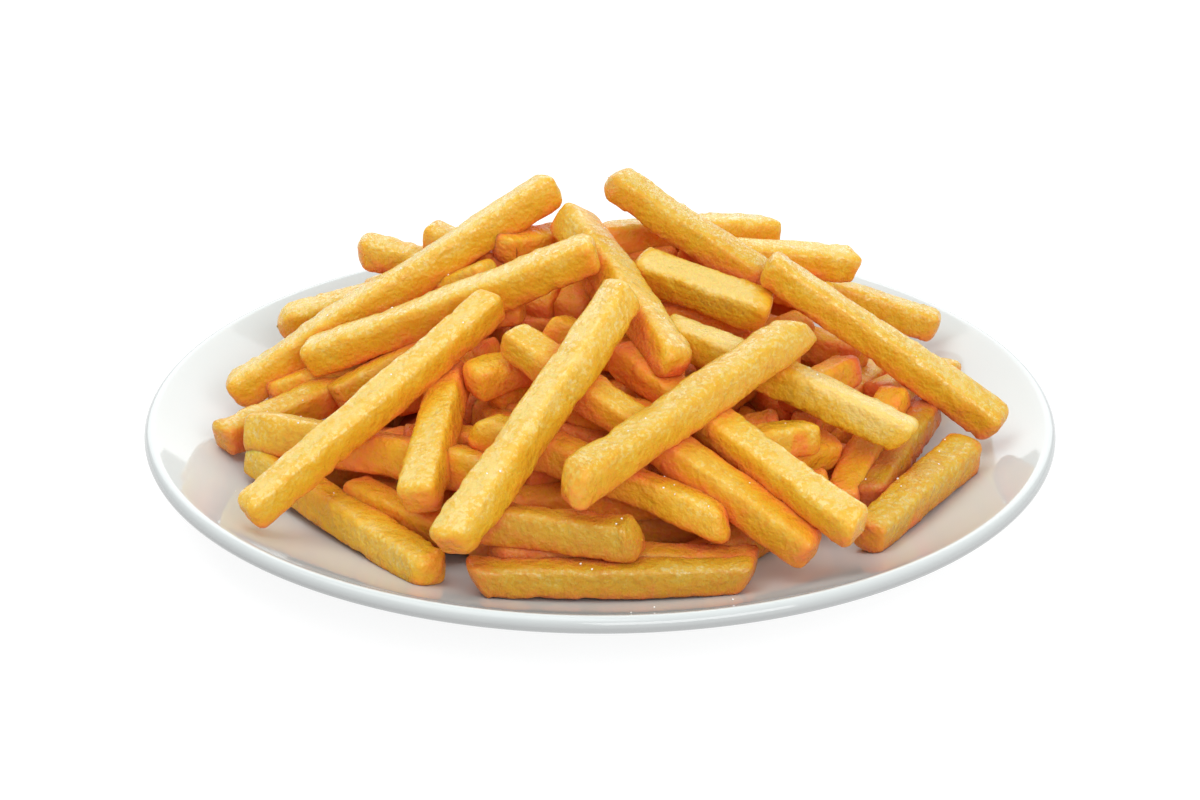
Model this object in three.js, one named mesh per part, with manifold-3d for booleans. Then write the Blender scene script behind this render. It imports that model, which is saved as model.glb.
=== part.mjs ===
// French fries heaped on a white coupe plate.
// Millimetres, +Z up. The origin is the centre of the plate's foot, on the table, and -Y is the front.
import * as THREE from 'three';
import { mergeVertices } from 'three/addons/utils/BufferGeometryUtils.js';
import Module from 'manifold-3d';

const wasm = await Module();
wasm.setup();

// ---------- driving dimensions ----------

const PLATE_RADIUS = 130;
const PLATE_HEIGHT = 24;
const LIP_RADIUS = 2.3;
const FLOOR_HEIGHT = 6.5;
const FLOOR_RADIUS = 74;
const WALL_CURVE = 1.8;
const WALL_THICKNESS = 4.4;
const FOOT_OUTER_RADIUS = 72;
const FOOT_INNER_RADIUS = 65;
const RECESS_HEIGHT = 2.2;
const PLATE_SIDES = 60;
const WALL_STEPS = 8;
const LIP_STEPS = 6;

const FOOD_CLEARANCE = 0.4;
const CORE_RADIUS = 70;
const CORE_HEIGHT = 42;
const CORE_STEPS = 6;
const CORE_SIDES = 24;

const FRY_SECTION_SIDES = 8;
const FRY_STEPS = 4;
const FRY_CORNER = 0.72;
const FRY_END_TAPER = 0.9;
const FRY_END_LENGTH = 3;

// ---------- where the fries lie ----------
// Each row is one fry: the two ends of its middle line, its thickness, how far its middle
// bows upwards, how far it is rolled, in degrees, and how much its ends slant back: the lower
// edge stands back where the number is positive, and the upper edge where it is negative.

const ON_THE_PLATE = [
  [[-35, -90, 15], [41, -88, 15], 8.5, -0.8, 0, 5],
  [[-29, -82, 17], [41, -80, 13], 8.5, 0, 4, 1],
  [[-97, -23, 18], [-43, -86, 14], 9.2, -1, 8, 1],
  [[-67, -46, 18], [-40, -69, 18], 8.5, 0, -5, 0],
  [[-98, -19, 24], [-27, -62, 30], 11.5, 0.5, 20, 1],
  [[-108, -15, 19], [-61, 16, 28], 9, 0.5, -6, 1],
  [[71, -70, 16], [103, -23, 20], 10, 0, -6, 1],
  [[74, -51, 18], [94, -8, 26], 8, 0.5, 10, 0],
  [[66, -49, 15], [84, -10, 31], 9.2, 0, 4, 0],
  [[-88, 12, 17], [-42, 46, 24], 9, 0, 7, 1],
  [[-96, 8, 22], [-60, 10, 35], 9, 0, 7, 1],
  [[-98, 47, 28], [-52, 50, 39], 9.8, 0, -4, -2],
  [[78, -3, 27], [104, 25, 23], 8.5, 0, 9, 0],
  [[61, 52, 39], [103, 53, 25], 9, 0.5, 3, 1],
];

const IN_THE_MIDDLE = [
  [[-35, -78, 26], [13, -87, 24], 9.6, 0, 5, -6],
  [[-35, -48, 39], [35, -81, 24], 9.4, 1.5, 6, -4],
  [[-25, -31, 58], [56, -86, 20], 9.4, 0.5, -5, 1],
  [[6, -27, 51], [67, -91, 29], 9.3, 0, -7, 1],
  [[17, -15, 53], [86, -43, 32], 9.3, 1.5, 5, 6],
  [[-48, -75, 29], [-41, -21, 43], 10, 0, 14, 1],
  [[-36, -33, 45], [-19, -26, 47], 9.2, 0, -4, 0],
  [[-76, -4, 27], [-40, 1, 45], 8.8, 0, 10, 1],
  [[53, -24, 36], [72, -3, 36], 8.5, 0, 12, 0],
  [[56, -30, 29], [80, 20, 25], 8.5, 0, -8, 0],
  [[39, -53, 35], [58, -43, 33], 8.5, 0, 6, 1],
  [[44, -51, 27], [64, -33, 25], 8.5, 0, -9, 0],
  [[34, -17, 41], [56, 5, 36], 8.5, 0, 5, 1],
  [[-11, -39, 43], [33, -49, 33], 9.4, 0, -6, 0],
  [[12, 10, 47], [41, 11, 45], 8.5, 0, 7, 0],
  [[0, 11, 59], [14, -10, 46], 9, 0, 4, 0],
  [[-9, 3, 49], [-3, 21, 54], 9.4, 0, -10, 1],
  [[-18, 9, 47], [-11, 23, 53], 8.8, 0, 8, 1],
];

const ON_TOP = [
  [[-94, -70, 23], [-29, -13, 61], 9.3, 0, -5, 1],
  [[-39, -94, 26], [7, -27, 70], 10, 0, 14, 1],
  [[-10, -90, 39], [57, -25, 59], 10, 0, 4, -5],
  [[-107, 10, 22], [-13, 34, 78], 9.8, 0, 5, 2],
  [[-84, 7, 35], [-1, -5, 73], 9.8, -1, -6, 1],
  [[-8, 26, 70], [21, -44, 54], 10.2, 0, 24, 1],
  [[2, 25, 84], [52, 6, 56], 9.3, 0, -5, -2],
  [[47, 1, 66], [113, -15, 23], 9.5, 0.5, -4, 1],
  [[10, 9, 63], [48, -2, 53], 10, 0.5, -18, 2],
  [[-50, 26, 46], [-31, 15, 58], 8.5, 0, 5, 0],
  [[-29, 23, 62], [0, 39, 61], 8.8, 0, -7, 1],
  [[-51, 43, 59], [-24, 26, 53], 8.5, 0, 8, 1],
  [[-72, 48, 53], [-36, 36, 48], 8.8, 0, -5, 1],
  [[0, 29, 63], [51, 49, 57], 9.5, 1, 4, 1],
  [[23, 25, 60], [76, 37, 52], 9.2, 0, -6, 2],
];

const AT_THE_BACK = [
  [[-48, 76, 14], [34, 82, 14], 9, 0, 4, 1],
  [[34, 74, 17], [88, 40, 16], 8.8, 0, -5, 1],
  [[-94, 36, 17], [-44, 80, 20], 9, 0, 6, 1],
  [[-34, 62, 24], [48, 60, 24], 9.2, 0.5, -6, 1],
  [[-78, 56, 29], [-4, 68, 36], 9, 0, 5, 1],
  [[4, 68, 33], [62, 32, 37], 9, 0, 8, 1],
  [[-62, 36, 32], [12, 58, 42], 9, 0, -4, 1],
  [[30, 62, 50], [-44, 46, 43], 9, 0.5, 6, 1],
  [[-72, 82, 25], [-22, 46, 56], 9, 0, -7, 1],
  [[-36, 98, 22], [-6, 48, 56], 9.2, 0, 5, 2],
  [[16, 100, 20], [-2, 60, 47], 9, 0, 9, 1],
  [[46, 94, 22], [22, 46, 49], 9.2, 0, -5, 1],
  [[78, 80, 22], [36, 36, 46], 9, 0.5, 6, 1],
  [[24, 46, 51], [66, 24, 46], 9.2, 0.5, -4, 1],
];

const UNDERNEATH = [
  [[-30, -14, 45], [-58, 14, 24], 8.8, 0, 5, 1],
  [[-22, 2, 53], [-66, 26, 34], 8.8, 0, -4, 1],
  [[-14, -16, 54], [22, -22, 41], 8.8, 0, 6, 1],
  [[26, 0, 36], [60, 14, 42], 8.8, 0, -7, 1],
  [[40, 28, 37], [76, 10, 34], 8.8, 0, 4, 1],
  [[-6, 38, 49], [-46, 32, 37], 8.8, 0, -5, 1],
  [[2, 44, 49], [18, 16, 56], 8.8, 0, 8, 1],
  [[-24, -58, 20], [26, -64, 25], 8.8, 0, -6, 1],
  [[-66, -40, 14], [-40, -50, 18], 8.8, 0, 5, 1],
  [[30, -58, 17], [62, -50, 22], 8.8, 0, -5, 1],
  [[40, -34, 24], [72, -26, 18], 8.8, 0, 7, 1],
  [[-10, -38, 33], [14, -56, 30], 8.8, 0, -4, 1],
  [[-54, -36, 29], [-22, -44, 30], 8.8, 0, 6, 1],
  [[56, 32, 28], [86, 20, 18], 8.8, 0, -6, 1],
  [[-46, 62, 14], [-12, 74, 20], 8.8, 0, 5, 1],
  [[2, -10, 45], [-30, -28, 37], 8.8, 0, 4, 1],
  [[-25, 13, 43], [23, 3, 43], 8.8, 0, -5, 1],
];

const FRIES = [...UNDERNEATH, ...ON_THE_PLATE, ...IN_THE_MIDDLE, ...ON_TOP, ...AT_THE_BACK];

// ---------- materials ----------

const glaze = new THREE.MeshStandardMaterial({ color: 0xf0f0ec, roughness: 0.12, metalness: 0 });
const potato = new THREE.MeshStandardMaterial({ color: 0xe3a63c, roughness: 0.5, metalness: 0 });

// ---------- plate ----------

// The upper surface is flat to FLOOR_RADIUS, then rises ever more steeply to the round lip.
// The lip starts where the wall's slope meets its circle.
function plateWall() {
  const lipHeight = PLATE_HEIGHT - LIP_RADIUS;
  const lipCentre = new THREE.Vector2(PLATE_RADIUS - LIP_RADIUS, lipHeight);
  let slope = 0.5;
  let join = lipCentre.clone();
  for (let round = 0; round < 12; round += 1) {
    const tilt = Math.atan(slope);
    join = new THREE.Vector2(
      lipCentre.x - LIP_RADIUS * Math.sin(tilt),
      lipCentre.y + LIP_RADIUS * Math.cos(tilt),
    );
    slope = WALL_CURVE * (join.y - FLOOR_HEIGHT) / (join.x - FLOOR_RADIUS);
  }
  return { lipCentre, join, tilt: Math.atan(slope) };
}

const WALL = plateWall();

function plateSurface(radius) {
  const part = (radius - FLOOR_RADIUS) / (WALL.join.x - FLOOR_RADIUS);
  return FLOOR_HEIGHT + (WALL.join.y - FLOOR_HEIGHT) * Math.max(part, 0) ** WALL_CURVE;
}

function wallRadii() {
  const radii = [];
  for (let i = 0; i <= WALL_STEPS; i += 1) {
    radii.push(FLOOR_RADIUS + (WALL.join.x - FLOOR_RADIUS) * (i / WALL_STEPS) ** 0.8);
  }
  return radii;
}

function plateGeometry() {
  const profile = [
    new THREE.Vector2(0, RECESS_HEIGHT),
    new THREE.Vector2(FOOT_INNER_RADIUS - RECESS_HEIGHT / 2, RECESS_HEIGHT),
    new THREE.Vector2(FOOT_INNER_RADIUS, 0),
    new THREE.Vector2(FOOT_OUTER_RADIUS, 0),
    new THREE.Vector2(FOOT_OUTER_RADIUS + RECESS_HEIGHT / 2, FLOOR_HEIGHT - WALL_THICKNESS),
  ];
  for (const radius of wallRadii().slice(1, -1)) {
    profile.push(new THREE.Vector2(radius, plateSurface(radius) - WALL_THICKNESS));
  }
  for (let i = 0; i <= LIP_STEPS; i += 1) {
    const angle = WALL.tilt - Math.PI / 2 + Math.PI * i / LIP_STEPS;
    profile.push(new THREE.Vector2(
      WALL.lipCentre.x + LIP_RADIUS * Math.cos(angle),
      WALL.lipCentre.y + LIP_RADIUS * Math.sin(angle),
    ));
  }
  for (const radius of wallRadii().slice(0, -1).reverse()) {
    profile.push(new THREE.Vector2(radius, plateSurface(radius)));
  }
  profile.push(new THREE.Vector2(0, FLOOR_HEIGHT));
  return new THREE.LatheGeometry(profile, PLATE_SIDES).rotateX(Math.PI / 2);
}

// A solid that fills the space under the food, up to a small gap above the plate's surface.
function plateKeepOut() {
  const profile = [
    new THREE.Vector2(0, -PLATE_HEIGHT),
    new THREE.Vector2(PLATE_RADIUS, -PLATE_HEIGHT),
    new THREE.Vector2(PLATE_RADIUS, PLATE_HEIGHT),
    new THREE.Vector2(WALL.join.x, WALL.join.y + FOOD_CLEARANCE),
  ];
  for (const radius of wallRadii().slice(0, -1).reverse()) {
    profile.push(new THREE.Vector2(radius, plateSurface(radius) + FOOD_CLEARANCE));
  }
  profile.push(new THREE.Vector2(0, FLOOR_HEIGHT + FOOD_CLEARANCE));
  return new THREE.LatheGeometry(profile, PLATE_SIDES).rotateX(Math.PI / 2);
}

// ---------- fries ----------

// A rounded mound, fully under the fries that show, which joins them into one heap.
function coreGeometry() {
  const profile = [new THREE.Vector2(0, FLOOR_HEIGHT)];
  for (let i = 0; i <= CORE_STEPS; i += 1) {
    const angle = Math.PI / 2 * i / CORE_STEPS;
    profile.push(new THREE.Vector2(
      CORE_RADIUS * Math.cos(angle),
      FLOOR_HEIGHT + (CORE_HEIGHT - FLOOR_HEIGHT) * Math.sin(angle) ** 1.2,
    ));
  }
  profile[profile.length - 1].x = 0;
  return new THREE.LatheGeometry(profile, CORE_SIDES).rotateX(Math.PI / 2);
}

// One straight-cut fry: a square stick with cut corners, slimmer at its two ends.
function fryGeometry([start, end, thickness, bow, roll, slant]) {
  const from = new THREE.Vector3(...start);
  const to = new THREE.Vector3(...end);
  const length = from.distanceTo(to);
  const geometry = new THREE.CylinderGeometry(
    1, 1, 1, FRY_SECTION_SIDES, FRY_STEPS, false, Math.PI / FRY_SECTION_SIDES,
  );
  const endPart = (FRY_END_LENGTH + Math.abs(slant)) / length;
  const stations = [0, endPart, 0.5, 1 - endPart, 1];
  const position = geometry.attributes.position;
  for (let i = 0; i < position.count; i += 1) {
    const station = Math.round((position.getY(i) + 0.5) * FRY_STEPS);
    const along = stations[station];
    const isEnd = station === 0 || station === FRY_STEPS;
    const half = thickness / 2 * (isEnd ? FRY_END_TAPER : 1);
    const across = squareUp(position.getX(i)) * half;
    const upward = squareUp(position.getZ(i)) * half;
    const setBack = Math.abs(slant) * (1 - Math.sign(slant) * upward / half);
    const cut = isEnd ? setBack * (0.5 - along) : 0;
    const lift = bow * 4 * along * (1 - along);
    position.setXYZ(i, across, along * length + cut, upward + lift);
  }
  return geometry.applyMatrix4(fryPlacement(from, to, roll));
}

// Takes a regular octagon's corners to those of a square with small cut corners.
function squareUp(value) {
  const size = Math.abs(value);
  if (size < 0.1) {
    return 0;
  }
  return Math.sign(value) * (size > 0.6 ? 1 : FRY_CORNER);
}

function fryPlacement(from, to, roll) {
  const along = to.clone().sub(from).normalize();
  const across = along.clone().cross(new THREE.Vector3(0, 0, 1)).normalize();
  const upward = across.clone().cross(along);
  const placement = new THREE.Matrix4().makeBasis(across, along, upward);
  placement.multiply(new THREE.Matrix4().makeRotationY(THREE.MathUtils.degToRad(roll)));
  return placement.setPosition(from);
}

// ---------- joining ----------

function toSolid(geometry) {
  const bare = geometry.clone();
  bare.deleteAttribute('normal');
  bare.deleteAttribute('uv');
  const merged = mergeVertices(bare, 1e-3);
  return new wasm.Manifold(new wasm.Mesh({
    numProp: 3,
    vertProperties: new Float32Array(merged.attributes.position.array),
    triVerts: new Uint32Array(merged.index.array),
  }));
}

function toGeometry(solid) {
  const mesh = solid.getMesh();
  const geometry = new THREE.BufferGeometry();
  geometry.setAttribute('position', new THREE.BufferAttribute(mesh.vertProperties, 3));
  geometry.setIndex(new THREE.BufferAttribute(mesh.triVerts, 1));
  geometry.computeVertexNormals();
  return geometry;
}

function heapGeometry() {
  let heap = toSolid(coreGeometry());
  for (const fry of FRIES) {
    heap = heap.add(toSolid(fryGeometry(fry)));
  }
  heap = heap.subtract(toSolid(plateKeepOut()));
  const pieces = heap.decompose().sort((a, b) => b.volume() - a.volume());
  return toGeometry(pieces[0]);
}

// ---------- the object ----------

function namedMesh(name, geometry, material) {
  const mesh = new THREE.Mesh(geometry, material);
  mesh.name = name;
  return mesh;
}

const group = new THREE.Group();
group.add(namedMesh('plate', plateGeometry(), glaze));
group.add(namedMesh('fries', heapGeometry(), potato));

export default group;
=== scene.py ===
"""A heap of golden french fries on a shallow white plate."""

import math
import random

import bpy
import numpy as np
from mathutils import Matrix, Vector


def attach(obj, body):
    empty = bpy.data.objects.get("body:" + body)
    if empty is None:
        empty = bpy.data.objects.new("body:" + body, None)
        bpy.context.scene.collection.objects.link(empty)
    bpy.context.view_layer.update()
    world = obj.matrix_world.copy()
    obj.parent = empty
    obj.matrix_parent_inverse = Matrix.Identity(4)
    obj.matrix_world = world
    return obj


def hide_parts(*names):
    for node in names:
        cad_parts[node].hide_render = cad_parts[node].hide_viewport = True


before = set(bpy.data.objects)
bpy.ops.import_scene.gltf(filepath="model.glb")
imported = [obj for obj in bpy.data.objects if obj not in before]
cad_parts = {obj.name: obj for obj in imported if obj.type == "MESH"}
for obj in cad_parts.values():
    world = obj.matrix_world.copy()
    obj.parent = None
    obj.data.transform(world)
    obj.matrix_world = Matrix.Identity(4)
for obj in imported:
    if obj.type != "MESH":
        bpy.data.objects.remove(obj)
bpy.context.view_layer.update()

MM = 0.001

# ---------- sizes, in millimetres ----------

PLATE_RADIUS = 130
PLATE_HEIGHT = 24
LIP_RADIUS = 2.3
FLOOR_HEIGHT = 6.5
FLOOR_RADIUS = 74
WALL_CURVE = 1.8
WALL_THICKNESS = 4.4
FOOT_OUTER_RADIUS = 72
FOOT_INNER_RADIUS = 65
RECESS_HEIGHT = 2.2
PLATE_SIDES = 224
WALL_STEPS = 30
LIP_STEPS = 16

FOOD_CLEARANCE = 0.4
CORE_RADIUS = 62
CORE_HEIGHT = 35
CORE_FULLNESS = 1.2
CORE_STEPS = 18
CORE_SIDES = 48

# ---------- where the fries lie ----------
# Each row is one fry: the two ends of its middle line, its thickness, how far its middle
# bows upwards, its roll in degrees, how much its ends slant back and, where given, how much
# browner it is (paler below 0): partly how long it was fried, partly painted shade on the
# low fries at the front and painted light on others that lie in shade.

UNDERNEATH = [
    ((-30, -14, 45), (-58, 14, 24), 8.8, 0, 5, 1),
    ((-22, 2, 53), (-66, 26, 34), 8.8, 0, -4, 1),
    ((-14, -16, 54), (22, -22, 41), 8.8, 0, 6, 1),
    ((26, 0, 36), (60, 14, 42), 8.8, 0, -7, 1),
    ((40, 28, 37), (76, 10, 34), 8.8, 0, 4, 1),
    ((-6, 38, 49), (-46, 32, 37), 8.8, 0, -5, 1),
    ((2, 44, 49), (18, 16, 56), 8.8, 0, 8, 1),
    ((-24, -58, 20), (26, -64, 25), 8.8, 0, -6, 1),
    ((-66, -40, 14), (-40, -50, 18), 8.8, 0, 5, 1),
    ((30, -58, 17), (62, -50, 22), 8.8, 0, -5, 1),
    ((40, -34, 24), (72, -26, 18), 8.8, 0, 7, 1),
    ((-10, -38, 33), (14, -56, 30), 8.8, 0, -4, 1),
    ((-54, -36, 29), (-22, -44, 30), 8.8, 0, 6, 1),
    ((56, 32, 28), (86, 20, 18), 8.8, 0, -6, 1),
    ((-46, 62, 14), (-12, 74, 20), 8.8, 0, 5, 1),
    ((2, -10, 45), (-30, -28, 37), 8.8, 0, 4, 1),
    ((-25, 13, 43), (23, 3, 43), 8.8, 0, -5, 1),
]

ON_THE_PLATE = [
    ((-35, -90, 15), (41, -88, 15), 8.5, -0.8, 0, 5, 0.32),
    ((-29, -82, 17), (41, -80, 13), 8.5, 0, 4, 1, 0.3),
    ((-97, -23, 18), (-43, -86, 14), 9.2, -1, 8, 1, -0.1),
    ((-67, -46, 18), (-40, -69, 18), 8.5, 0, -5, 0),
    ((-98, -19, 24), (-27, -62, 30), 11.5, 0.5, 20, 1),
    ((-108, -15, 19), (-61, 16, 28), 9, 0.5, -6, 1),
    ((71, -70, 16), (103, -23, 20), 10, 0, -6, 1, 0.14),
    ((74, -51, 18), (94, -8, 26), 8, 0.5, 10, 0, 0.4),
    ((66, -49, 15), (84, -10, 31), 9.2, 0, 4, 0),
    ((-88, 12, 17), (-42, 46, 24), 9, 0, 7, 1),
    ((-96, 8, 22), (-60, 10, 35), 9, 0, 7, 1),
    ((-98, 47, 28), (-52, 50, 39), 9.8, 0, -4, -2),
    ((78, -3, 27), (104, 25, 23), 8.5, 0, 9, 0),
    ((61, 52, 39), (103, 53, 25), 9, 0.5, 3, 1),
]

IN_THE_MIDDLE = [
    ((-35, -78, 26), (13, -87, 24), 9.6, 0, 5, -6, 0.2),
    ((-35, -48, 39), (35, -81, 24), 9.4, 1.5, 6, -4),
    ((-25, -31, 58), (56, -86, 20), 9.4, 0.5, -5, 1),
    ((6, -27, 51), (67, -91, 29), 9.3, 0, -7, 1),
    ((17, -15, 53), (86, -43, 32), 9.3, 1.5, 5, 6, -0.3),
    ((-48, -75, 29), (-41, -21, 43), 10, 0, 14, 1),
    ((-36, -33, 45), (-19, -26, 47), 9.2, 0, -4, 0),
    ((-76, -4, 27), (-40, 1, 45), 8.8, 0, 10, 1),
    ((53, -24, 36), (72, -3, 36), 8.5, 0, 12, 0),
    ((56, -30, 29), (80, 20, 25), 8.5, 0, -8, 0),
    ((39, -53, 35), (58, -43, 33), 8.5, 0, 6, 1),
    ((44, -51, 27), (64, -33, 25), 8.5, 0, -9, 0),
    ((34, -17, 41), (56, 5, 36), 8.5, 0, 5, 1),
    ((-11, -39, 43), (33, -49, 33), 9.4, 0, -6, 0),
    ((12, 10, 47), (41, 11, 45), 8.5, 0, 7, 0),
    ((0, 11, 59), (14, -10, 46), 9, 0, 4, 0),
    ((-9, 3, 49), (-3, 21, 54), 9.4, 0, -10, 1),
    ((-18, 9, 47), (-11, 23, 53), 8.8, 0, 8, 1),
]

ON_TOP = [
    ((-94, -70, 23), (-29, -13, 61), 9.3, 0, -5, 1, -0.08),
    ((-39, -94, 26), (7, -27, 70), 10, 0, 14, 1),
    ((-10, -90, 39), (57, -25, 59), 10, 0, 4, -5, 0.05),
    ((-107, 10, 22), (-13, 34, 78), 9.8, 0, 5, 2, -0.12),
    ((-84, 7, 35), (-1, -5, 73), 9.8, -1, -6, 1),
    ((-8, 26, 70), (21, -44, 54), 10.2, 0, 24, 1),
    ((2, 25, 84), (52, 6, 56), 9.3, 0, -5, -2, 0.08),
    ((47, 1, 66), (113, -15, 23), 9.5, 0.5, -4, 1),
    ((10, 9, 63), (48, -2, 53), 10, 0.5, -18, 2, -0.25),
    ((-50, 26, 46), (-31, 15, 58), 8.5, 0, 5, 0),
    ((-29, 23, 62), (0, 39, 61), 8.8, 0, -7, 1),
    ((-51, 43, 59), (-24, 26, 53), 8.5, 0, 8, 1),
    ((-72, 48, 53), (-36, 36, 48), 8.8, 0, -5, 1),
    ((0, 29, 63), (51, 49, 57), 9.5, 1, 4, 1),
    ((23, 25, 60), (76, 37, 52), 9.2, 0, -6, 2),
]

AT_THE_BACK = [
    ((-48, 76, 14), (34, 82, 14), 9, 0, 4, 1),
    ((34, 74, 17), (88, 40, 16), 8.8, 0, -5, 1),
    ((-94, 36, 17), (-44, 80, 20), 9, 0, 6, 1),
    ((-34, 62, 24), (48, 60, 24), 9.2, 0.5, -6, 1),
    ((-78, 56, 29), (-4, 68, 36), 9, 0, 5, 1),
    ((4, 68, 33), (62, 32, 37), 9, 0, 8, 1),
    ((-62, 36, 32), (12, 58, 42), 9, 0, -4, 1),
    ((30, 62, 50), (-44, 46, 43), 9, 0.5, 6, 1),
    ((-72, 82, 25), (-22, 46, 56), 9, 0, -7, 1),
    ((-36, 98, 22), (-6, 48, 56), 9.2, 0, 5, 2),
    ((16, 100, 20), (-2, 60, 47), 9, 0, 9, 1),
    ((46, 94, 22), (22, 46, 49), 9.2, 0, -5, 1),
    ((78, 80, 22), (36, 36, 46), 9, 0.5, 6, 1),
    ((24, 46, 51), (66, 24, 46), 9.2, 0.5, -4, 1),
]

LAYERS = {
    "fries_underneath": UNDERNEATH,
    "fries_on_the_plate": ON_THE_PLATE,
    "fries_in_the_middle": IN_THE_MIDDLE,
    "fries_on_top": ON_TOP,
    "fries_at_the_back": AT_THE_BACK,
}


# ---------- node trees ----------

class Signal:
    """One output socket of a node, with arithmetic that adds Math nodes."""

    def __init__(self, maker, socket):
        self.maker = maker
        self.socket = socket

    def __add__(self, other):
        return self.maker.math("ADD", self, other)

    __radd__ = __add__

    def __sub__(self, other):
        return self.maker.math("SUBTRACT", self, other)

    def __rsub__(self, other):
        return self.maker.math("SUBTRACT", other, self)

    def __mul__(self, other):
        return self.maker.math("MULTIPLY", self, other)

    __rmul__ = __mul__

    def __truediv__(self, other):
        return self.maker.math("DIVIDE", self, other)

    def __rtruediv__(self, other):
        return self.maker.math("DIVIDE", other, self)

    def __pow__(self, other):
        return self.maker.math("POWER", self, other)

    def __abs__(self):
        return self.maker.math("ABSOLUTE", self)


class Maker:
    """Adds nodes to one tree."""

    def __init__(self, tree):
        self.tree = tree
        tree.nodes.clear()

    def node(self, kind, settings=None, sockets=None):
        made = self.tree.nodes.new(kind)
        for name, value in (settings or {}).items():
            if name == "stops":
                self.set_stops(made.color_ramp, value)
            else:
                setattr(made, name, value)
        for name, value in (sockets or {}).items():
            self.feed(made.inputs[name], value)
        return made

    def set_stops(self, ramp, stops):
        while len(ramp.elements) < len(stops):
            ramp.elements.new(0.5)
        for element, (place, colour) in zip(ramp.elements, stops):
            element.position = place
            element.color = (*colour, 1)

    def feed(self, socket, value):
        if isinstance(value, Signal):
            self.tree.links.new(value.socket, socket)
        else:
            socket.default_value = value

    def signal(self, kind, settings=None, sockets=None, output=0):
        return Signal(self, self.node(kind, settings, sockets).outputs[output])

    def math(self, operation, *values):
        sockets = dict(enumerate(values))
        return self.signal("ShaderNodeMath", {"operation": operation}, sockets)

    def vector(self, operation, *values):
        sockets = dict(enumerate(values))
        return self.signal("ShaderNodeVectorMath", {"operation": operation}, sockets)

    def dot(self, first, second):
        return self.signal(
            "ShaderNodeVectorMath", {"operation": "DOT_PRODUCT"}, {0: first, 1: second}, "Value"
        )

    def clamp(self, value, low, high):
        return self.math("MINIMUM", self.math("MAXIMUM", value, low), high)

    def scaled(self, vector, amount):
        return self.signal(
            "ShaderNodeVectorMath", {"operation": "SCALE"}, {0: vector, "Scale": amount}
        )

    def combine(self, x, y, z):
        return self.signal("ShaderNodeCombineXYZ", None, {0: x, 1: y, 2: z})

    def split(self, vector):
        made = self.node("ShaderNodeSeparateXYZ", None, {0: vector})
        return [Signal(self, output) for output in made.outputs]

    def noise(self, place, scale, detail, roughness):
        return self.signal("ShaderNodeTexNoise", None, {
            "Vector": place, "Scale": scale, "Detail": detail, "Roughness": roughness,
        })

    def attribute(self, name, output="Fac"):
        return self.signal("ShaderNodeAttribute", {"attribute_name": name}, None, output)

    def object_place(self):
        return self.signal("ShaderNodeTexCoord", None, None, "Object")

    def bump(self, height, strength, distance):
        return self.signal("ShaderNodeBump", None, {
            "Strength": strength, "Distance": distance, "Height": height,
        })

    def steps(self, value, low, high, out_low=0.0, out_high=1.0):
        return self.signal("ShaderNodeMapRange", {"interpolation_type": "SMOOTHSTEP"}, {
            "Value": value, "From Min": low, "From Max": high,
            "To Min": out_low, "To Max": out_high,
        })

    def mix_colour(self, share, first, second, blend="MIX"):
        made = self.node("ShaderNodeMix", {"data_type": "RGBA", "blend_type": blend})
        self.feed(made.inputs[0], share)
        self.feed(made.inputs[6], first)
        self.feed(made.inputs[7], second)
        return Signal(self, made.outputs[2])


def new_material(name):
    material = bpy.data.materials.new(name)
    material.use_nodes = True
    return material, Maker(material.node_tree)


def finish_material(maker, sockets):
    shader = maker.node("ShaderNodeBsdfPrincipled", None, sockets)
    output = maker.node("ShaderNodeOutputMaterial")
    maker.tree.links.new(shader.outputs[0], output.inputs[0])


# ---------- materials ----------
# Each noise's scale is how many of its patches fit in a metre.

MOTTLE_SCALE = 160
PATCH_SCALE = 45
GRAIN_SCALE = 850
BLISTER_SCALE = 420

# The crust's colours with painted shade in them: from pale where it lies open to deep red where other
# fries hide it, which stands in for the shade there.
CRUST_AND_PAINTED_SHADE_COLOURS = [
    (0.0, (0.76, 0.565, 0.16)),
    (0.16, (0.74, 0.475, 0.06)),
    (0.34, (0.73, 0.41, 0.021)),
    (0.54, (0.74, 0.345, 0.019)),
    (0.76, (0.81, 0.28, 0.036)),
    (1.0, (0.82, 0.2, 0.055)),
]

# What that colour is multiplied by, more and more, on a fry that is browner: fried for longer, and on the
# low fries at the front, painted shade.
FULLY_BROWNED_AND_PAINTED_SHADE = (0.1, 0.1, 0.1, 1)

# How much each cause adds to the roast, with its painted shade and painted highlights, which picks the
# crust's colour, or takes off it.
ROAST_BASE = 0.07
PAINTED_SHADE_IN_HIDING = 1.05
ROAST_FROM_MOTTLE = 0.6
ROAST_FROM_PATCHES = 0.3
ROAST_FROM_BLISTERS = 0.4
ROAST_AT_EDGES = 0.04
ROAST_AT_TIPS = 0.2
TIP_REACH = (0.5 * MM, 9 * MM)
LEAST_OPENNESS = 0.28
MOST_DONENESS_AND_PAINTED_SHADE = 0.1
GLINT_PALENESS = 0.06
OPEN_GLINT_PALENESS = 0.22


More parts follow.
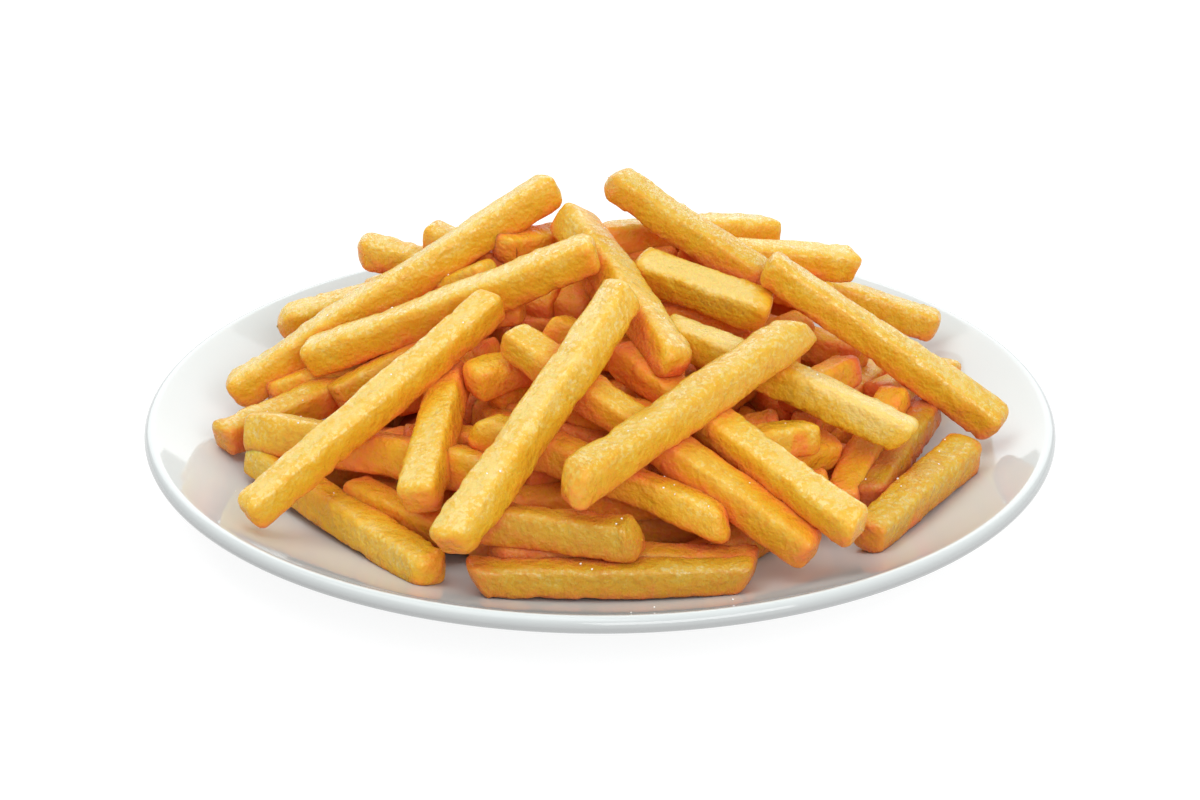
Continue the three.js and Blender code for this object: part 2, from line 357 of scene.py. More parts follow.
def potato_material():
    material, make = new_material("fried_potato")
    own = make.attribute("own_place", "Vector")
    doneness = make.attribute("doneness")
    openness = make.attribute("openness")

    mottle = make.noise(own, MOTTLE_SCALE, 3, 0.6)
    patches = make.noise(own, PATCH_SCALE, 1, 0.5)
    grain = make.noise(own, GRAIN_SCALE, 2, 0.6)
    blister = make.noise(own, BLISTER_SCALE, 2, 0.6)
    glint = make.steps(grain, 0.5, 0.62)
    in_the_open = make.steps(openness, 0.55, 0.95)

    # Painted shade: the crust is painted deeper and redder the less open sky a point sees between the
    # fries.
    roast_with_painted_shade_and_glint = (1 - make.math("MAXIMUM", openness, LEAST_OPENNESS)) * PAINTED_SHADE_IN_HIDING + ROAST_BASE
    roast_with_painted_shade_and_glint = roast_with_painted_shade_and_glint + make.attribute("edge") * ROAST_AT_EDGES
    roast_with_painted_shade_and_glint = roast_with_painted_shade_and_glint + make.steps(make.attribute("end_distance"), *TIP_REACH, ROAST_AT_TIPS, 0) * mottle
    roast_with_painted_shade_and_glint = roast_with_painted_shade_and_glint + (mottle - 0.5) * ROAST_FROM_MOTTLE
    roast_with_painted_shade_and_glint = roast_with_painted_shade_and_glint + (patches - 0.5) * ROAST_FROM_PATCHES
    roast_with_painted_shade_and_glint = roast_with_painted_shade_and_glint + (blister - 0.5) * ROAST_FROM_BLISTERS
    roast_with_painted_shade_and_glint = roast_with_painted_shade_and_glint + make.math("MINIMUM", doneness, MOST_DONENESS_AND_PAINTED_SHADE)
    # Painted highlight: the crust is painted paler at the glints, most where it lies open.
    roast_with_painted_shade_and_glint = roast_with_painted_shade_and_glint - glint * (in_the_open * OPEN_GLINT_PALENESS + GLINT_PALENESS)
    colour = make.signal("ShaderNodeValToRGB", {"stops": CRUST_AND_PAINTED_SHADE_COLOURS}, {"Fac": make.clamp(roast_with_painted_shade_and_glint, 0, 1)})
    # Browner fries are darker; on the low fries at the front this darkening is painted shade.
    colour = make.mix_colour(make.clamp(doneness, 0, 1), colour, FULLY_BROWNED_AND_PAINTED_SHADE, "MULTIPLY")

    oily = (glint * 0.6 + 0.4) * make.steps(openness, 0.35, 0.85)
    relief = mottle * 0.45 + blister * 0.19 + grain * 0.1
    finish_material(make, {
        "Base Color": colour, "Roughness": 0.42 - 0.18 * glint,
        "Normal": make.bump(relief, 1.0, 3 * MM),
        "Specular IOR Level": 0.2, "Coat Weight": oily, "Coat Roughness": 0.26,
        "Subsurface Weight": 0.5, "Subsurface Radius": (1, 0.5, 0.15), "Subsurface Scale": 4 * MM,
    })
    return material


def core_material():
    material, make = new_material("heap_core_painted_shade")
    mottle = make.noise(make.object_place(), 120, 3, 0.6)
    # The core's dark red-brown is painted shade: it stands for the shadowed inside of the heap, seen in
    # its gaps.
    colour = make.mix_colour(mottle, (0.5, 0.09, 0.02, 1), (0.32, 0.045, 0.012, 1))
    finish_material(make, {"Base Color": colour, "Roughness": 0.8, "Specular IOR Level": 0.1})
    return material


def porcelain_material():
    material, make = new_material("glazed_porcelain")
    place = make.object_place()
    cloud = make.noise(place, 18, 2, 0.5)
    ripple = make.noise(place, 60, 1, 0.4)
    glaze = make.mix_colour(cloud, (0.645, 0.69, 0.685, 1), (0.68, 0.725, 0.72, 1))
    # The underside is painted grey by its shade attribute: painted shade, as it faces away from the
    # light.
    colour = make.mix_colour(make.attribute("shade"), glaze, (0.36, 0.37, 0.37, 1))
    finish_material(make, {
        "Base Color": colour, "Roughness": 0.04 + 0.04 * cloud,
        "Normal": make.bump(ripple, 0.03, MM), "Specular IOR Level": 0.5,
    })
    return material


def salt_material():
    material, make = new_material("table_salt")
    cloud = make.noise(make.object_place(), 900, 1, 0.5)
    colour = make.mix_colour(cloud, (0.9, 0.9, 0.88, 1), (0.96, 0.96, 0.95, 1))
    finish_material(make, {"Base Color": colour, "Roughness": 0.25})
    return material


def floor_material():
    material, make = new_material("studio_floor")
    place = make.object_place()
    # The floor glows so that it shows white, and glows less near the plate: painted shade round the
    # plate, which also lights its underside less.
    away = make.signal("ShaderNodeVectorMath", {"operation": "LENGTH"}, {0: place}, "Value")
    far = make.steps(away, 0.25, 1.1)
    glow = make.mix_colour(far, (0.81, 0.81, 0.81, 1), (0.9, 0.9, 0.9, 1))
    finish_material(make, {
        "Base Color": (0.3, 0.3, 0.3, 1), "Roughness": 0.9, "Specular IOR Level": 0.1,
        "Emission Color": glow, "Emission Strength": 1.0,
    })
    return material


POTATO = potato_material()
CORE_PAINTED_SHADE = core_material()
PORCELAIN = porcelain_material()
SALT = salt_material()


# ---------- meshes ----------

def mesh_object(name, points, faces, material):
    mesh = bpy.data.meshes.new(name)
    mesh.from_pydata([tuple(p) for p in points], [], faces)
    mesh.materials.append(material)
    made = bpy.data.objects.new(name, mesh)
    bpy.context.scene.collection.objects.link(made)
    mesh.polygons.foreach_set("use_smooth", [True] * len(mesh.polygons))
    return made


def turned(name, profile, sides, material, shade=None):
    """A closed solid turned round Z from (radius, height) points whose two ends lie on the axis.

    shade, where it is given, is a number for each profile point, kept as the mesh's attribute."""
    inner = profile[1:-1]
    count = len(inner)
    points = [(0, 0, profile[0][1] * MM), (0, 0, profile[-1][1] * MM)]
    for side in range(sides):
        angle = 2 * math.pi * side / sides
        for radius, height in inner:
            points.append((radius * math.cos(angle) * MM, radius * math.sin(angle) * MM, height * MM))
    faces = []
    for side in range(sides):
        here = 2 + side * count
        there = 2 + (side + 1) % sides * count
        faces.append((0, there, here))
        for step in range(count - 1):
            faces.append((here + step, there + step, there + step + 1, here + step + 1))
        faces.append((1, here + count - 1, there + count - 1))
    made = mesh_object(name, points, faces, material)
    if shade:
        values = [shade[0], shade[-1]] + list(shade[1:-1]) * sides
        made.data.attributes.new("shade", "FLOAT", "POINT").data.foreach_set("value", values)
    return made


# ---------- plate ----------

# The recess and the foot ring as (radius, height) points, from the axis out to the wall.
FOOT_SECTION = [
    (0, RECESS_HEIGHT),
    (FOOT_INNER_RADIUS - 4, RECESS_HEIGHT),
    (FOOT_INNER_RADIUS - 1.5, RECESS_HEIGHT - 0.3),
    (FOOT_INNER_RADIUS - 0.4, 0.4),
    (FOOT_INNER_RADIUS, 0),
    (FOOT_OUTER_RADIUS, 0),
    (FOOT_OUTER_RADIUS + 0.4, 0.3),
    (FOOT_OUTER_RADIUS + 1.1, FLOOR_HEIGHT - WALL_THICKNESS),
]
FLOOR_RINGS = (60, 40, 20)


def wall_join():
    """Where the wall runs into the lip's circle, and the wall's tilt there.

    Each round starts from the slope that the last one found, and 12 are enough to settle it."""
    centre = (PLATE_RADIUS - LIP_RADIUS, PLATE_HEIGHT - LIP_RADIUS)
    slope = 0.5
    for _ in range(12):
        tilt = math.atan(slope)
        radius = centre[0] - LIP_RADIUS * math.sin(tilt)
        height = centre[1] + LIP_RADIUS * math.cos(tilt)
        slope = WALL_CURVE * (height - FLOOR_HEIGHT) / (radius - FLOOR_RADIUS)
    return centre, radius, height, math.atan(slope)


LIP_CENTRE, JOIN_RADIUS, JOIN_HEIGHT, JOIN_TILT = wall_join()


def plate_surface(radius):
    part = max((radius - FLOOR_RADIUS) / (JOIN_RADIUS - FLOOR_RADIUS), 0)
    return FLOOR_HEIGHT + (JOIN_HEIGHT - FLOOR_HEIGHT) * part ** WALL_CURVE


def plate_profile():
    wall = [FLOOR_RADIUS + (JOIN_RADIUS - FLOOR_RADIUS) * i / WALL_STEPS for i in range(WALL_STEPS + 1)]
    underside = [(radius, plate_surface(radius) - WALL_THICKNESS) for radius in wall[2:-1]]
    profile = FOOT_SECTION + underside
    for i in range(LIP_STEPS + 1):
        angle = JOIN_TILT - math.pi / 2 + math.pi * i / LIP_STEPS
        profile.append((
            LIP_CENTRE[0] + LIP_RADIUS * math.cos(angle),
            LIP_CENTRE[1] + LIP_RADIUS * math.sin(angle),
        ))
    profile += [(radius, plate_surface(radius)) for radius in reversed(wall[:-1])]
    profile += [(radius, FLOOR_HEIGHT) for radius in FLOOR_RINGS]
    profile.append((0, FLOOR_HEIGHT))
    return profile


def underside_shade(profile):
    """1 on the plate's underside, fading out over the lip."""
    lip_top = max(range(len(profile)), key=lambda i: profile[i][1])
    lip_foot = lip_top - LIP_STEPS // 2
    return [min(max((lip_top - i) / (lip_top - lip_foot), 0), 1) for i in range(len(profile))]


profile = plate_profile()
plate = turned("white_plate", profile, PLATE_SIDES, PORCELAIN, underside_shade(profile))
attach(plate, "root")
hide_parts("plate")


# ---------- core of the heap ----------

def core_profile():
    base = FLOOR_HEIGHT + FOOD_CLEARANCE
    profile = [(0, base)]
    for i in range(CORE_STEPS + 1):
        angle = math.pi / 2 * i / CORE_STEPS
        profile.append((
            CORE_RADIUS * math.cos(angle),
            base + (CORE_HEIGHT - base) * math.sin(angle) ** CORE_FULLNESS,
        ))
    profile[-1] = (0, CORE_HEIGHT)
    return profile


core = turned("heap_core", core_profile(), CORE_SIDES, CORE_PAINTED_SHADE)
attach(core, "root")
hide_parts("fries")


# ---------- fries ----------

# How finely a fry is made: its sides, and its rings from tip to tip.
SHOWN_FINENESS = (36, 88)
INNER_FINENESS = (16, 30)
GUIDE_FINENESS = (12, 18)

# The share of the rings in each end cap, and of the cap's rings on its cut face.
CAP_SHARE = 0.12
FACE_SHARE = 0.3

# How far the cut face domes, and how far a fry runs past its row's two ends, in millimetres.
FACE_DOME = 0.3
END_ALLOWANCE = 0.6

# The section's outline is |x|^p + |y|^p = 1: a circle at 2, and nearly a square from 5 up.
BODY_POWER = 4.9
END_POWER = 3.8
CORNER_BUNCH = 0.14

# How unlike one fry is to the next: shares of its thickness, then millimetres, then the rest.
WIDTH_SPREAD = (1.04, 1.12)
HEIGHT_SPREAD = (1.02, 1.09)
END_ROUNDING = (0.36, 0.72)
BLUNT_ROUNDING = 0.5
TAPER_SPREAD = 0.06
SIDE_BOW = 0.9
END_SKEW = 2
TWIST_SPREAD = 0.16
TONE_SPREAD = 0.14
SLANT_KEPT = 0.8

# Relief: the scales of its noises, then its depths in units of RELIEF_DEPTH.
LUMP_SCALE = 40
DENT_SCALE = 130
BUBBLE_SCALE = 330
NICK_SCALE = 190
RELIEF_DEPTH = 0.3
DENT_DEPTH = 1.8
BUBBLE_DEPTH = 0.7
NICK_DEPTH = 1.4

# How much the lumps swell a fry, how rough its cut face is, and its gap to the plate.
LUMP_SWELL = 0.4
END_ROUGHNESS = 2.2
FRY_CLEARANCE = 0.15

# How the open sky over each point is measured: by rays that start just off the surface.
SKY_RAYS = 22
SKY_REACH = 45
SKY_START = 1.2
SKY_SHARE = 0.6
SKY_BLUR = 9
# How much extra painted shade the inner layers get: a share taken off their openness.
SHELTER = {"fries_inside": 0.5, "fries_underneath": 0.2}

GUIDE_SEED = 3
LAYER_SEED = 11
INNER_SEED = 5
ROW_KEYS = ("foot", "along", "across", "upward", "size", "shape", "look", "ends", "fried")


def fry_points(name, rows, seed):
    """One point for each fry, which carries the fry's place and size as attributes."""
    draw = random.Random(seed)
    values = {key: [] for key in ROW_KEYS}
    for start, end, thickness, bow, roll, slant, *browner_and_painted_shade in rows:
        foot = Vector(start) * MM
        head = Vector(end) * MM
        along = (head - foot).normalized()
        foot -= along * END_ALLOWANCE * MM
        head += along * END_ALLOWANCE * MM
        across = along.cross(Vector((0, 0, 1))).normalized()
        upward = across.cross(along)
        turn = Matrix.Rotation(-math.radians(roll), 3, along)
        wide = thickness * draw.uniform(*WIDTH_SPREAD)
        high = thickness * draw.uniform(*HEIGHT_SPREAD)
        values["foot"].append(foot)
        values["along"].append(along)
        values["across"].append(turn @ across)
        values["upward"].append(turn @ upward)
        values["size"].append(((head - foot).length, wide * MM / 2, high * MM / 2))
        side_bow = draw.uniform(-SIDE_BOW, SIDE_BOW)
        values["shape"].append((bow * MM, side_bow * MM, slant * SLANT_KEPT * MM))
        tone = draw.random()
        taper = draw.uniform(-TAPER_SPREAD, TAPER_SPREAD)
        twist = draw.uniform(-TWIST_SPREAD, TWIST_SPREAD)
        values["look"].append((tone, taper, twist))
        blunt = BLUNT_ROUNDING if slant < 0 else 0
        foot_round = draw.uniform(*END_ROUNDING) + blunt
        head_round = draw.uniform(*END_ROUNDING) + blunt
        values["ends"].append((foot_round, head_round, draw.uniform(-END_SKEW, END_SKEW) * MM))
        values["fried"].append((sum(browner_and_painted_shade), 0, 0))
    mesh = bpy.data.meshes.new(name)
    mesh.from_pydata([(0, 0, 0)] * len(rows), [], [])
    for key, vectors in values.items():
        attribute = mesh.attributes.new(key, "FLOAT_VECTOR", "POINT")
        attribute.data.foreach_set("vector", np.array(vectors, np.float32).ravel())
    made = bpy.data.objects.new(name, mesh)
    bpy.context.scene.collection.objects.link(made)
    return made


def named_vector(make, name):
    return make.signal(
        "GeometryNodeInputNamedAttribute", {"data_type": "FLOAT_VECTOR"}, {"Name": name}
    )


def choose(condition, when_true, when_false):
    return condition * when_true + (1 - condition) * when_false


def new_tree(name, sockets):
    """A geometry tree with named inputs, its maker and the inputs' signals."""
    tree = bpy.data.node_groups.new(name, "GeometryNodeTree")
    make = Maker(tree)
    face = tree.interface
    face.new_socket("Geometry", in_out="INPUT", socket_type="NodeSocketGeometry")
    for label, kind in sockets.items():
        face.new_socket(label, in_out="INPUT", socket_type="NodeSocket" + kind)
    face.new_socket("Geometry", in_out="OUTPUT", socket_type="NodeSocketGeometry")
    given = make.node("NodeGroupInput")
    inputs = {output.name: Signal(make, output) for output in given.outputs if output.name}
    return tree, make, inputs


def close_tree(make, geometry, material):
    whole = make.signal("GeometryNodeRealizeInstances", None, {"Geometry": geometry})
    finished = make.signal("GeometryNodeSetMaterial", None, {"Geometry": whole, "Material": material})
    result = make.node("NodeGroupOutput")
    make.tree.links.new(finished.socket, result.inputs[0])


def store(make, geometry, name, value, kind="FLOAT"):
    return make.signal("GeometryNodeStoreNamedAttribute", {"data_type": kind, "domain": "POINT"}, {
        "Geometry": geometry, "Name": name, "Value": value,
    })


def object_mesh(make, thing):
    """The mesh of the object that a tree's input names."""
    return make.signal(
        "GeometryNodeObjectInfo", {"transform_space": "ORIGINAL"}, {"Object": thing}, "Geometry"
    )


def stick_tree():
    """Turns each point into a square stick with soft corners, a bow, blunt ends and bubbles."""
    tree, make, inputs = new_tree("cut_sticks", {
        "Sides": "Int", "Rings": "Int", "Relief": "Float", "Material": "Material",
    })
    ball = make.signal("GeometryNodeMeshUVSphere", None, {
        "Segments": inputs["Sides"], "Rings": inputs["Rings"], "Radius": 1.0,
    })
    copies = make.signal("GeometryNodeInstanceOnPoints", None, {
        "Points": inputs["Geometry"], "Instance": ball,
    })
    sticks = make.signal("GeometryNodeRealizeInstances", None, {"Geometry": copies})

    x, y, z = make.split(make.signal("GeometryNodeInputPosition"))
    length, half_wide, half_high = make.split(named_vector(make, "size"))
    bow, side_bow, slant = make.split(named_vector(make, "shape"))
    tone, taper, twist = make.split(named_vector(make, "look"))
    foot_round, head_round, skew = make.split(named_vector(make, "ends"))
    browner_and_painted_shade = make.split(named_vector(make, "fried"))[0]

    # How far along the ball's meridian the ring lies, and how deep in its end cap.
    part = make.math("ARCCOSINE", make.clamp(z, -1, 1)) / math.pi
    from_end = make.math("MINIMUM", part, 1 - part)
    at_foot = make.math("LESS_THAN", part, 0.5)
    rounding = choose(at_foot, foot_round, head_round)
    in_cap = make.math("MINIMUM", from_end / CAP_SHARE, 1)
    on_face = make.math("MINIMUM", in_cap / FACE_SHARE, 1)
    turn = make.clamp((in_cap - FACE_SHARE) / (1 - FACE_SHARE), 0, 1) * (math.pi / 2)
    spread = on_face * (1 - rounding) + make.math("SINE", turn) * rounding
    dome = on_face * on_face * FACE_DOME * MM
    inset = (1 - make.math("COSINE", turn)) * rounding * half_wide + dome
    foot_inset = foot_round * half_wide + FACE_DOME * MM
    head_inset = head_round * half_wide + FACE_DOME * MM
    body = (part - CAP_SHARE) / (1 - 2 * CAP_SHARE)
    body_place = foot_inset + body * (length - foot_inset - head_inset)
    is_cap = make.math("LESS_THAN", from_end, CAP_SHARE)
    station = choose(is_cap, choose(at_foot, inset, length - inset), body_place)
    share = station / length

    # The section is a square with rounded corners, and rounder at the ends.
    turned_by = make.math("ARCTAN2", y, x)
    turned_by = turned_by + make.math("SINE", turned_by * 4) * CORNER_BUNCH
    cosine = make.math("COSINE", turned_by)
    sine = make.math("SINE", turned_by)
    power = make.steps(in_cap, 0.2, 1, END_POWER, BODY_POWER)
    total = abs(cosine) ** power + abs(sine) ** power
    reach = make.math("MAXIMUM", total, 0.01) ** (-1 / power)
    corner = make.clamp((reach - 1) / (2 ** (0.5 - 1 / BODY_POWER) - 1), 0, 1)
    local = make.combine(
        cosine * reach * spread * half_wide, sine * reach * spread * half_high, station
    )
    # Each fry reads another stretch of the patterns, so that no two are alike.
    shifted = make.vector("ADD", local, make.combine(tone * 3, tone * 5, tone * 7))
    lumps = make.noise(shifted, LUMP_SCALE, 1, 0.5) - 0.5
    dents = make.noise(shifted, DENT_SCALE, 2, 0.5) - 0.5
    bubbles = make.steps(make.noise(shifted, BUBBLE_SCALE, 1, 0.5), 0.52, 0.72)
    nicks = make.steps(make.noise(shifted, NICK_SCALE, 2, 0.6), 0.5, 0.7) * corner
    swell = 1 + taper * (share - 0.5) * 2 + lumps * LUMP_SWELL
    relief = (dents * DENT_DEPTH + bubbles * BUBBLE_DEPTH - nicks * NICK_DEPTH) * inputs["Relief"]
    wide = (half_wide * swell + relief) * reach * spread
    high = (half_high * swell + relief) * reach * spread
    angle = twist * (share - 0.5) * 2
    sideways = cosine * wide - sine * high * angle
    upright = sine * high + cosine * wide * angle

    arch = 4 * share * (1 - share)
    lean_back = abs(slant) * (1 - make.math("SIGN", slant) * upright / half_high) * 0.5
    slope_back = lean_back + skew * sideways / half_wide
    near_end = make.steps(abs(share - 0.5), 0.3, 0.5)
    rough_end = is_cap * dents * (END_ROUGHNESS * MM)
    travel = station + slope_back * (0.5 - share) * 2 * near_end + rough_end

    place = named_vector(make, "foot")
    steps = {"along": travel, "across": sideways + side_bow * arch, "upward": upright + bow * arch}
    for direction, amount in steps.items():
        place = make.vector("ADD", place, make.scaled(named_vector(make, direction), amount))

    # A fry that reaches the plate lies flat against it.
    place_x, place_y, place_z = make.split(place)
    radius = make.math("SQRT", place_x * place_x + place_y * place_y)
    rise = make.math("MAXIMUM", (radius - FLOOR_RADIUS * MM) / ((JOIN_RADIUS - FLOOR_RADIUS) * MM), 0)
    resting = (FLOOR_HEIGHT + FRY_CLEARANCE) * MM
    surface = resting + (JOIN_HEIGHT - FLOOR_HEIGHT) * MM * rise ** WALL_CURVE
    place = make.combine(place_x, place_y, make.math("MAXIMUM", place_z, surface))

    edge = corner * (1 - is_cap) + is_cap * on_face * on_face
    stored = store(make, sticks, "own_place", shifted, "FLOAT_VECTOR")
    stored = store(make, stored, "doneness", browner_and_painted_shade + (tone - 0.5) * TONE_SPREAD)
    stored = store(make, stored, "edge", edge)
    stored = store(make, stored, "end_distance", make.math("MINIMUM", station, length - station))
    placed = make.signal("GeometryNodeSetPosition", None, {"Geometry": stored, "Position": place})
    smooth = make.signal("GeometryNodeSetShadeSmooth", None, {"Geometry": placed})
    close_tree(make, smooth, inputs["Material"])
    return tree


def sky_directions(count):
    """Directions spread evenly over the upper half of a ball."""
    golden = math.pi * (3 - math.sqrt(5))
    for i in range(count):
        height = (i + 0.5) / count
        flat = math.sqrt(1 - height * height)
        yield Vector((flat * math.cos(golden * i), flat * math.sin(golden * i), height))


def daylight_tree():
    """Stores how openly each point lies, from which the crust is painted with shade, deeper and redder
    between the fries.
    """
    tree, make, inputs = new_tree("open_air", {
        "Neighbours": "Object", "Reach": "Float", "Shelter": "Float", "Material": "Material",
    })
    heap = object_mesh(make, inputs["Neighbours"])
    normal = make.signal("GeometryNodeInputNormal")
    place = make.signal("GeometryNodeInputPosition")
    start = make.vector("ADD", place, make.scaled(normal, SKY_START * MM))
    light = 0.0
    sky = 0.0
    for direction in sky_directions(SKY_RAYS):
        ray = make.node("GeometryNodeRaycast", None, {
            "Target Geometry": heap, "Source Position": start,
            "Ray Direction": direction, "Ray Length": inputs["Reach"],
        })
        is_hit = Signal(make, ray.outputs["Is Hit"])
        distance = Signal(make, ray.outputs["Hit Distance"]) / inputs["Reach"]
        facing = make.math("MAXIMUM", make.dot(normal, direction), 0)
        light = light + facing * (1 - is_hit * (1 - distance * distance))
        sky = sky + facing
    openness = light / (sky * SKY_SHARE + (1 - SKY_SHARE) * SKY_RAYS / 2)
    blurred = make.signal("GeometryNodeBlurAttribute", {"data_type": "FLOAT"}, {
        "Value": openness, "Iterations": SKY_BLUR,
    })
    stored = store(make, inputs["Geometry"], "openness", blurred * (1 - inputs["Shelter"]))
    close_tree(make, stored, inputs["Material"])
    return tree


def grown(source, steps, name):
    """Runs geometry trees on an object, and returns their result as a plain mesh object."""
    for tree, settings in steps:
        modifier = source.modifiers.new(tree.name, "NODES")
        modifier.node_group = tree
        for item in tree.interface.items_tree:
            if item.in_out == "INPUT" and item.name in settings:
                modifier[item.identifier] = settings[item.name]
    bpy.context.view_layer.update()
    graph = bpy.context.evaluated_depsgraph_get()
    mesh = bpy.data.meshes.new_from_object(source.evaluated_get(graph))
    mesh.name = name
    made = bpy.data.objects.new(name, mesh)
    bpy.context.scene.collection.objects.link(made)
    bpy.data.objects.remove(source)
    return made


STICKS = stick_tree()
DAYLIGHT = daylight_tree()


def stick_settings(fineness):
    sides, rings = fineness
    return {"Sides": sides, "Rings": rings, "Relief": RELIEF_DEPTH * MM, "Material": POTATO}


GOLDEN_SHARE = 0.618
INNER_THICKNESS = 8.8
INNER_HALF_LENGTH = (13, 20)
ON_THE_CORE = 46
ROUND_ITS_FOOT = 24
FOOT_BAND = (58, 76)


def inner_rows():
    """Short fries of the inside of the heap, which show only in its gaps.

    The first lie on the core, spread evenly round it, and the others lie round its foot."""
    draw = random.Random(INNER_SEED)
    rows = []
    for i in range(ON_THE_CORE + ROUND_ITS_FOOT):
        around = 2 * math.pi * (i * GOLDEN_SHARE % 1)
        if i < ON_THE_CORE:
            out = CORE_RADIUS * math.sqrt(draw.uniform(0.04, 0.85))
            rise = math.sqrt(max(1 - (out / CORE_RADIUS) ** 2, 0)) ** CORE_FULLNESS
            height = FLOOR_HEIGHT + (CORE_HEIGHT - FLOOR_HEIGHT) * rise + draw.uniform(1, 4)
            heading = around + math.pi / 2 + draw.uniform(-1, 1)
        else:
            out = draw.uniform(*FOOT_BAND)
            height = FLOOR_HEIGHT + 5 + draw.uniform(0, 3)
            heading = around + math.pi / 2 + draw.uniform(-0.4, 0.4)
        half = draw.uniform(*INNER_HALF_LENGTH)
        lean = draw.uniform(-3, 3)
        x = out * math.cos(around)
        y = out * math.sin(around)
        aside = half * math.cos(heading)
        ahead = half * math.sin(heading)
        start = (x - aside, y - ahead, height - lean)
        end = (x + aside, y + ahead, height + lean)
        rows.append((start, end, INNER_THICKNESS, 0, draw.uniform(-8, 8), 1))
    return rows


IN_THE_GAPS = [
    ((48, -30, 20), (80, -6, 20), 8.8, 0, 5, 1),
    ((52, -8, 16), (84, 8, 16), 8.8, 0, -4, 1),
    ((70, 8, 20), (98, 22, 20), 8.8, 0, 6, 1),
    ((-84, -28, 14), (-52, -14, 14), 8.8, 0, -6, 1),
    ((-6, 34, 54), (22, 28, 56), 8.8, 0, 4, 1),
]
LAYERS["fries_inside"] = IN_THE_GAPS + inner_rows()

# A plain copy of the whole heap, which tells each layer where its neighbours lie.
every_fry = [row for rows in LAYERS.values() for row in rows]
guide_step = (STICKS, stick_settings(GUIDE_FINENESS))
guide = grown(fry_points("guide_points", every_fry, GUIDE_SEED), [guide_step], "guide")


def make_layer(name, rows, seed):
    fineness = INNER_FINENESS if name == "fries_inside" else SHOWN_FINENESS
    layer = grown(fry_points(name + "_points", rows, seed), [
        (STICKS, stick_settings(fineness)),
        (DAYLIGHT, {
            "Neighbours": guide, "Reach": SKY_REACH * MM, "Shelter": SHELTER.get(name, 0.0),
            "Material": POTATO,
        }),
    ], name)
    for key in ROW_KEYS:
        layer.data.attributes.remove(layer.data.attributes[key])
    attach(layer, "root")
    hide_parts("fries")
    return layer


layers = {
    name: make_layer(name, rows, LAYER_SEED + number)
    for number, (name, rows) in enumerate(LAYERS.items())
}
bpy.data.objects.remove(guide)


# ---------- salt and crumbs ----------

GRAIN_SPREAD = (0.55, 1.25)
UPWARD_ENOUGH = 0.6
STREW_SEED = 3


def grain_tree():
    """Strews small rough grains over a surface's upward faces."""
    tree, make, inputs = new_tree("strewn_grains", {
        "Surface": "Object", "Density": "Float", "Grain": "Float", "Reach": "Float",
        "Seed": "Int", "Material": "Material",
    })
    surface = object_mesh(make, inputs["Surface"])
    upward = make.split(make.signal("GeometryNodeInputNormal"))[2]
    x, y = make.split(make.signal("GeometryNodeInputPosition"))[:2]
    away = make.math("SQRT", x * x + y * y)
    faces_up = make.math("GREATER_THAN", upward, UPWARD_ENOUGH)
    chosen = faces_up * make.math("LESS_THAN", away, inputs["Reach"])
    points = make.node("GeometryNodeDistributePointsOnFaces", None, {
        "Mesh": surface, "Selection": chosen, "Density": inputs["Density"], "Seed": inputs["Seed"],
    })
    rough = make.signal("GeometryNodeMeshIcoSphere", None, {"Radius": 0.5, "Subdivisions": 1})
    spin = make.signal("FunctionNodeRandomValue", {"data_type": "FLOAT_VECTOR"}, {
        "Max": (math.tau, math.tau, math.tau), "Seed": inputs["Seed"],
    })
    size = make.signal("FunctionNodeRandomValue", {"data_type": "FLOAT_VECTOR"}, {
        "Min": [GRAIN_SPREAD[0]] * 3, "Max": [GRAIN_SPREAD[1]] * 3, "Seed": inputs["Seed"],
    })
    grains = make.signal("GeometryNodeInstanceOnPoints", None, {
        "Points": Signal(make, points.outputs["Points"]), "Instance": rough,
        "Rotation": spin, "Scale": make.scaled(size, inputs["Grain"]),
    })
    close_tree(make, grains, inputs["Material"])
    return tree


GRAINS = grain_tree()


def strew(name, surfaces, density, size, reach, material):
    """One piece of grains that lie on each of the surfaces.

    density is in grains for each square metre, and size and reach are in millimetres."""
    heaps = []
    for number, surface in enumerate(surfaces):
        mesh = bpy.data.meshes.new(name)
        start = bpy.data.objects.new(name, mesh)
        bpy.context.scene.collection.objects.link(start)
        heaps.append(grown(start, [(GRAINS, {
            "Surface": surface, "Density": density, "Grain": size * MM, "Reach": reach * MM,
            "Seed": STREW_SEED + number, "Material": material,
        })], name))
    piece = heaps[0]
    with bpy.context.temp_override(active_object=piece, selected_editable_objects=heaps):
        bpy.ops.object.join()
    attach(piece, "root")
    return piece


seen_layers = [layers[name] for name in ("fries_on_the_plate", "fries_in_the_middle", "fries_on_top")]
strew("salt_on_the_fries", seen_layers, 3200, 0.6, 130, SALT)
strew("salt_on_the_plate", [plate], 900, 0.55, 110, SALT)
strew("fry_crumbs", [plate], 420, 0.9, 104, POTATO)


# ---------- studio ----------

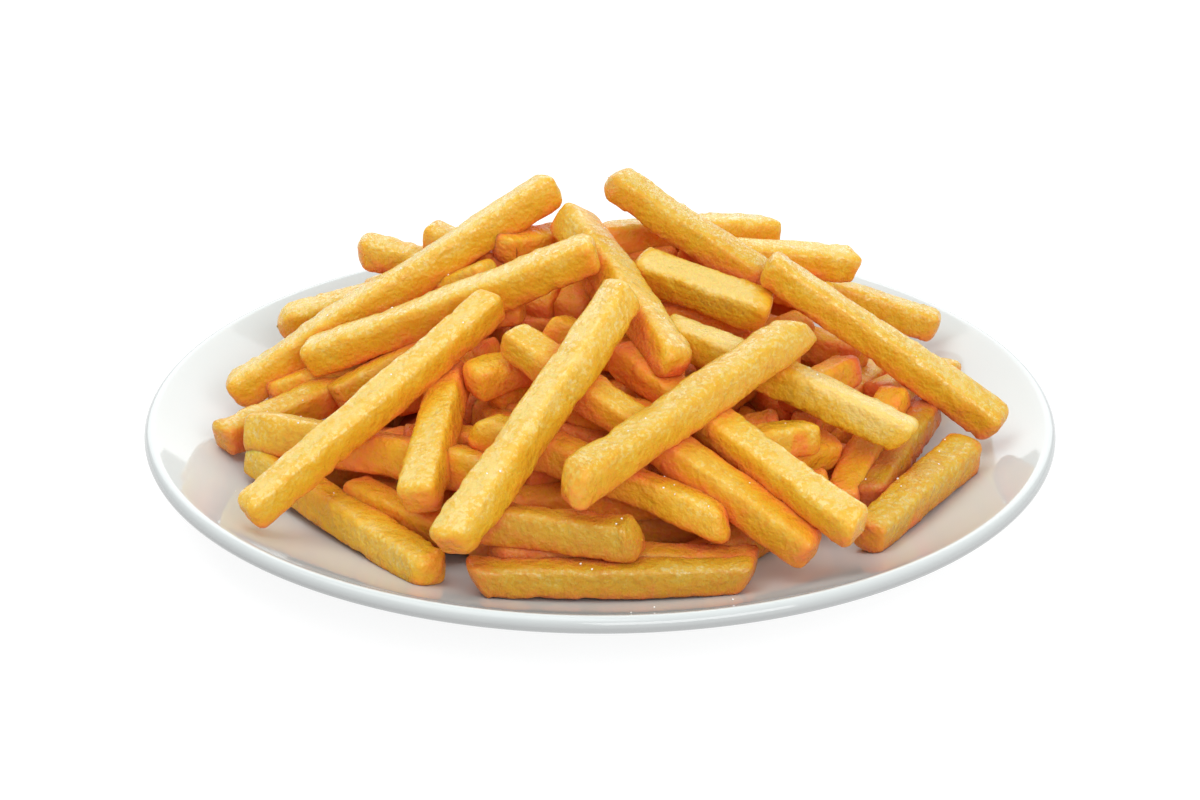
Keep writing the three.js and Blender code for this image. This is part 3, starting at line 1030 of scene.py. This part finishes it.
CAMERA_TILT = math.radians(24.3)
CAMERA_DISTANCE = 0.8125
LENS = 84.7
AIM = Vector((0, 0, 0.0249))
SENSOR_WIDTH = 36
AIR_STRENGTH = 0.67
FLOOR_REACH = 4
LAMP_AIM = Vector((0, 0, 0.03))

# Each softbox: its place and its size in metres, and its power in watts.
SOFTBOXES = {
    "key_softbox": ((-0.35, -0.1, 1.2), (1.1, 0.9), 5.8),
    "back_softbox": ((0, 1.35, 0.7), (2.2, 0.9), 8),
    "front_softbox": ((0.5, -1.2, 0.85), (1.2, 0.7), 11),
}


def add_camera():
    view = Vector((0, math.cos(CAMERA_TILT), -math.sin(CAMERA_TILT)))
    data = bpy.data.cameras.new("camera")
    data.lens = LENS
    data.sensor_width = SENSOR_WIDTH
    data.sensor_fit = "HORIZONTAL"
    camera = bpy.data.objects.new("camera", data)
    bpy.context.scene.collection.objects.link(camera)
    camera.location = AIM - view * CAMERA_DISTANCE
    camera.rotation_euler = view.to_track_quat("-Z", "Y").to_euler()
    bpy.context.scene.camera = camera


def add_softbox(name, place, size, power):
    data = bpy.data.lights.new(name, "AREA")
    data.shape = "RECTANGLE"
    data.size, data.size_y = size
    data.energy = power
    lamp = bpy.data.objects.new(name, data)
    bpy.context.scene.collection.objects.link(lamp)
    lamp.location = place
    lamp.rotation_euler = (LAMP_AIM - Vector(place)).to_track_quat("-Z", "Y").to_euler()


def add_world():
    world = bpy.data.worlds.new("studio_air")
    world.use_nodes = True
    make = Maker(world.node_tree)
    air = make.node("ShaderNodeBackground", None, {"Color": (1, 1, 1, 1), "Strength": AIR_STRENGTH})
    output = make.node("ShaderNodeOutputWorld")
    make.tree.links.new(air.outputs[0], output.inputs[0])
    bpy.context.scene.world = world


def add_floor():
    signs = ((-1, -1), (1, -1), (1, 1), (-1, 1))
    corners = [(x * FLOOR_REACH, y * FLOOR_REACH, 0) for x, y in signs]
    floor = mesh_object("studio_floor", corners, [(0, 1, 2, 3)], floor_material())


add_camera()
add_world()
add_floor()
for softbox, (place, size, power) in SOFTBOXES.items():
    add_softbox(softbox, place, size, power)
bpy.context.scene.view_settings.view_transform = "Standard"
